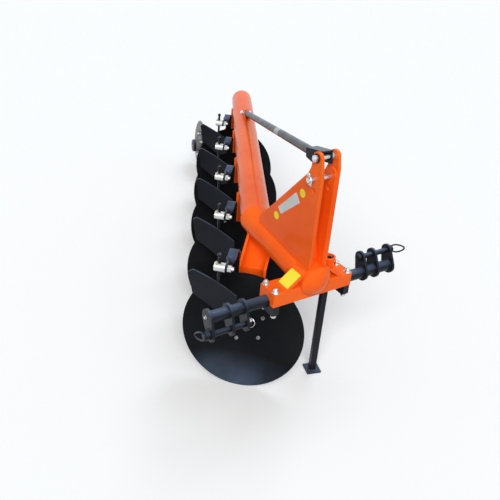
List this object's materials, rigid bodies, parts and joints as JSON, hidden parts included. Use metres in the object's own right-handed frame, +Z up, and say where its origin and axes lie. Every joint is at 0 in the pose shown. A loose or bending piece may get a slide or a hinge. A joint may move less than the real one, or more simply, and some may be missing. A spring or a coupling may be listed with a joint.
{
  "type": "mounted disc plough",
  "caption": "Tractor-mounted disc plough: dished discs with scrapers under a slanting tube beam, hitch tower with stay, cross shaft, parking stand and rear furrow wheel.",
  "frame": {"origin": "bottom centre of the bounding box, on the floor that the parked plough stands on", "axes": "+Y to the rear against the travel direction, +X to the plough's left, +Z up"},
  "size_m": [1.772, 3.3198, 1.3732],
  "materials": {
    "paint_orange": "gloss orange paint",
    "paint_black": "gloss black paint",
    "disc_black": "gloss black paint on spring steel",
    "zinc": "zinc plated",
    "wheel_steel": "grey paint"
  },
  "bodies": {
    "plough_frame": {"main_beam": "paint_orange", "cross_bar": "paint_orange", "tower_left_plate": "paint_orange", "tower_right_plate": "paint_orange", "tower_web": "paint_orange", "top_link_pin": "zinc", "stay_clevis": "paint_black", "stay_bar": "paint_black", "stay_lugs": "paint_orange", "stay_bolts": "zinc", "cross_shaft": "paint_black", "shaft_clamps": "paint_black", "hitch_plates_left": "paint_black", "hitch_plates_right": "paint_black", "lower_pin_left": "zinc", "lower_pin_right": "zinc", "wheel_arm": "paint_orange", "wheel_axle": "wheel_steel", "standard_1": "paint_orange", "bearing_1": "paint_black", "scraper_strap_1": "paint_black", "scraper_blade_1": "paint_black", "standard_2": "paint_orange", "bearing_2": "paint_black", "scraper_strap_2": "paint_black", "scraper_blade_2": "paint_black", "standard_3": "paint_orange", "bearing_3": "paint_black", "scraper_strap_3": "paint_black", "scraper_blade_3": "paint_black", "standard_4": "paint_orange", "bearing_4": "paint_black", "scraper_strap_4": "paint_black", "scraper_blade_4": "paint_black", "standard_5": "paint_orange", "bearing_5": "paint_black", "scraper_strap_5": "paint_black", "scraper_blade_5": "paint_black", "scraper_clamps": "zinc"},
    "disc_1_body": {"hub_1": "paint_black", "disc_1": "disc_black"},
    "disc_2_body": {"hub_2": "paint_black", "disc_2": "disc_black"},
    "disc_3_body": {"hub_3": "paint_black", "disc_3": "disc_black"},
    "disc_4_body": {"hub_4": "paint_black", "disc_4": "disc_black"},
    "disc_5_body": {"hub_5": "paint_black", "disc_5": "disc_black"},
    "furrow_wheel_body": {"furrow_wheel": "wheel_steel"},
    "stand_body": {"stand_leg": "paint_black"}
  },
  "joints": [
    {"name": "disc_1_spin", "type": "hinge", "parent": "plough_frame", "child": "disc_1_body", "pos_m": [-0.45405, -1.28158, 0.30501], "axis": [-0.687, -0.7064, 0.1702], "continuous": true},
    {"name": "disc_2_spin", "type": "hinge", "parent": "plough_frame", "child": "disc_2_body", "pos_m": [-0.181, -0.78306, 0.30501], "axis": [-0.687, -0.7064, 0.1702], "continuous": true},
    {"name": "disc_3_spin", "type": "hinge", "parent": "plough_frame", "child": "disc_3_body", "pos_m": [0.09204, -0.28454, 0.30501], "axis": [-0.687, -0.7064, 0.1702], "continuous": true},
    {"name": "disc_4_spin", "type": "hinge", "parent": "plough_frame", "child": "disc_4_body", "pos_m": [0.36509, 0.21398, 0.30501], "axis": [-0.687, -0.7064, 0.1702], "continuous": true},
    {"name": "disc_5_spin", "type": "hinge", "parent": "plough_frame", "child": "disc_5_body", "pos_m": [0.63814, 0.7125, 0.30501], "axis": [-0.687, -0.7064, 0.1702], "continuous": true},
    {"name": "furrow_wheel_spin", "type": "hinge", "parent": "plough_frame", "child": "furrow_wheel_body", "pos_m": [0.65565, 1.43168, 0.23536], "axis": [0.97, -0.2418, -0.0262], "continuous": true},
    {"name": "stand_slide", "type": "slide", "parent": "plough_frame", "child": "stand_body", "axis": [0, 0, 1], "range_m": [0, 0.3]}
  ]
}
